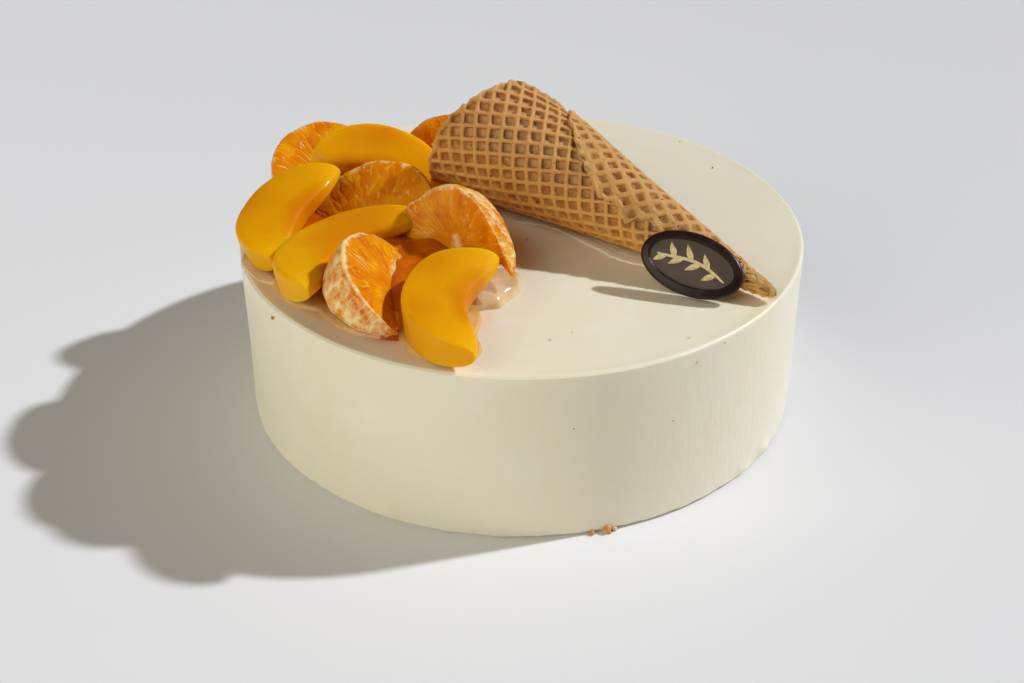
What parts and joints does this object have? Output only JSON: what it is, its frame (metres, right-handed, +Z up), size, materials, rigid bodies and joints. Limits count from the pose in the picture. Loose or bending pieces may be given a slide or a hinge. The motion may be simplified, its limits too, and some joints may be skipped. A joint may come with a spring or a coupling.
{
  "type": "peach cake",
  "caption": "Round cream-coated cake topped with peach slices, mandarin segments, a rolled wafer cone lying on its side and an oval chocolate plaque.",
  "frame": {"origin": "middle of the cake's flat underside, on the surface it stands on", "axes": "+Z up through the cake; -Y towards the side seen first; the fruit lies towards -X and the cone's thin end towards +X"},
  "size_m": [0.2, 0.2, 0.1097],
  "materials": {
    "cream": "smooth off-white cream coat, satin",
    "wafer": "baked waffle sheet, dry",
    "chocolate": "poured dark chocolate, soft gloss",
    "peach": "wet amber-yellow fruit under clear glaze",
    "mandarin": "wet orange fruit with pale membrane, under clear glaze",
    "glaze": "clear fruit glaze"
  },
  "bodies": {
    "root": {"cake": "cream", "wafer_cone": "wafer", "chocolate_plaque": "chocolate", "peach_front": "peach", "peach_lower": "peach", "peach_left": "peach", "peach_back": "peach", "mandarin_front": "mandarin", "mandarin_left": "mandarin", "mandarin_middle": "mandarin", "mandarin_mouth": "mandarin", "mandarin_back": "mandarin", "mandarin_under": "mandarin"}
  },
  "joints": []
}
